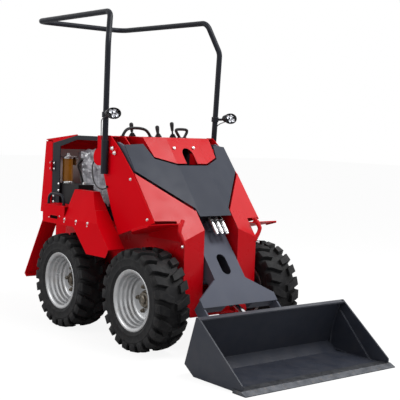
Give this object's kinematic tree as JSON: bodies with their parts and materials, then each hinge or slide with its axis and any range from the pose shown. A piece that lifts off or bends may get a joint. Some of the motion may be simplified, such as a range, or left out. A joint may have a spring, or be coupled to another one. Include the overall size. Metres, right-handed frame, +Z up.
{
  "type": "skid steer loader",
  "caption": "Compact skid steer loader with a central folded-plate boom, wide bucket, open engine bay, fenders and a bent-pipe roll hoop with work lamps.",
  "frame": {"origin": "bottom centre of the bounding box, on the ground", "axes": "+X forward along the machine, +Y to its left, +Z up"},
  "size_m": [2.41, 1.07, 1.925],
  "materials": {
    "red_paint": "glossy enamel",
    "boom_paint": "satin blue-grey enamel",
    "bucket_paint": "satin dark grey enamel, scuffed",
    "black_paint": "satin charcoal enamel",
    "rim_paint": "silver wheel paint",
    "tyre": "matt black tread rubber",
    "plain_steel": "bright plated steel",
    "chrome_rod": "polished rod",
    "engine": "oily cast iron",
    "film": "crumpled wrapping film",
    "amber": "amber plastic",
    "black_plastic": "black plastic",
    "worn_steel": "worn cutting steel"
  },
  "bodies": {
    "chassis": {"axle_stubs": "black_paint", "chassis_tub": "red_paint", "seat_deck": "red_paint", "tower_right": "red_paint", "tower_left": "red_paint", "side_panel_right": "red_paint", "side_panel_left": "red_paint", "front_hood": "red_paint", "hand_controls": "black_plastic", "bay_frame": "black_paint", "top_cover": "red_paint", "rear_bumper": "red_paint", "rear_fender_right": "red_paint", "rear_fender_left": "red_paint", "front_fender_right": "red_paint", "front_fender_left": "red_paint", "roll_hoop": "black_paint", "lamp_right": "black_plastic", "lamp_left": "black_plastic", "engine_block": "engine", "operator_seat": "film", "filter_canister": "amber", "battery": "black_plastic", "fender_rails": "black_paint"},
    "rear_door": {"rear_door": "red_paint"},
    "boom": {"boom_cover": "boom_paint", "boom_frame": "boom_paint", "quick_couplers": "plain_steel", "boom_arm": "boom_paint"},
    "bucket": {"bucket_hitch": "bucket_paint", "bucket_shell": "bucket_paint", "bucket_side_right": "bucket_paint", "bucket_side_left": "bucket_paint", "cutting_edge": "worn_steel"},
    "lift_barrel": {"lift_barrel": "black_paint"},
    "lift_rod": {"lift_rod": "chrome_rod"},
    "tilt_barrel": {"tilt_barrel": "black_paint"},
    "tilt_rod": {"tilt_rod": "chrome_rod"},
    "wheel_front_right": {"tyre_front_right": "tyre", "rim_front_right": "rim_paint"},
    "wheel_front_left": {"tyre_front_left": "tyre", "rim_front_left": "rim_paint"},
    "wheel_rear_right": {"tyre_rear_right": "tyre", "rim_rear_right": "rim_paint"},
    "wheel_rear_left": {"tyre_rear_left": "tyre", "rim_rear_left": "rim_paint"}
  },
  "joints": [
    {"name": "boom_lift", "type": "hinge", "parent": "chassis", "child": "boom", "pos_m": [-0.166, 0, 1.093], "axis": [0, -1, 0], "range_deg": [0, 62]},
    {"name": "bucket_tilt", "type": "hinge", "parent": "boom", "child": "bucket", "pos_m": [0.666, 0, 0.13], "axis": [0, 1, 0], "range_deg": [-25, 95]},
    {"name": "lift_swing", "type": "hinge", "parent": "chassis", "child": "lift_barrel", "pos_m": [-0.209, 0, 0.54], "axis": [0, -1, 0], "range_deg": [0, 11.3]},
    {"name": "lift_extend", "type": "slide", "parent": "lift_barrel", "child": "lift_rod", "axis": [0.6042, 0, 0.7968], "range_m": [0, 0.2974]},
    {"name": "tilt_swing", "type": "hinge", "parent": "boom", "child": "tilt_barrel", "pos_m": [0.271, 0, 0.37], "axis": [0, 1, 0], "range_deg": [-1.6, 3.2]},
    {"name": "tilt_extend", "type": "slide", "parent": "tilt_barrel", "child": "tilt_rod", "axis": [0.9185, 0, -0.3953], "range_m": [-0.0268, 0.0962]},
    {"name": "rear_door_hinge", "type": "hinge", "parent": "chassis", "child": "rear_door", "pos_m": [-0.868, -0.392, 0.866], "axis": [0, 0, 1], "range_deg": [0, 110]},
    {"name": "wheel_front_right_spin", "type": "hinge", "parent": "chassis", "child": "wheel_front_right", "pos_m": [0.211, -0.407, 0.2875], "axis": [0, 1, 0], "continuous": true},
    {"name": "wheel_front_left_spin", "type": "hinge", "parent": "chassis", "child": "wheel_front_left", "pos_m": [0.211, 0.407, 0.2875], "axis": [0, 1, 0], "continuous": true},
    {"name": "wheel_rear_right_spin", "type": "hinge", "parent": "chassis", "child": "wheel_rear_right", "pos_m": [-0.551, -0.407, 0.2875], "axis": [0, 1, 0], "continuous": true},
    {"name": "wheel_rear_left_spin", "type": "hinge", "parent": "chassis", "child": "wheel_rear_left", "pos_m": [-0.551, 0.407, 0.2875], "axis": [0, 1, 0], "continuous": true}
  ],
  "couplings": [
    {"joint": "lift_swing", "follows": "boom_lift", "ratio": 0.1664},
    {"joint": "lift_extend", "follows": "boom_lift", "m_per_rad": 0.27296},
    {"joint": "tilt_swing", "follows": "bucket_tilt", "ratio": 0.0235},
    {"joint": "tilt_extend", "follows": "bucket_tilt", "m_per_rad": 0.0568}
  ]
}
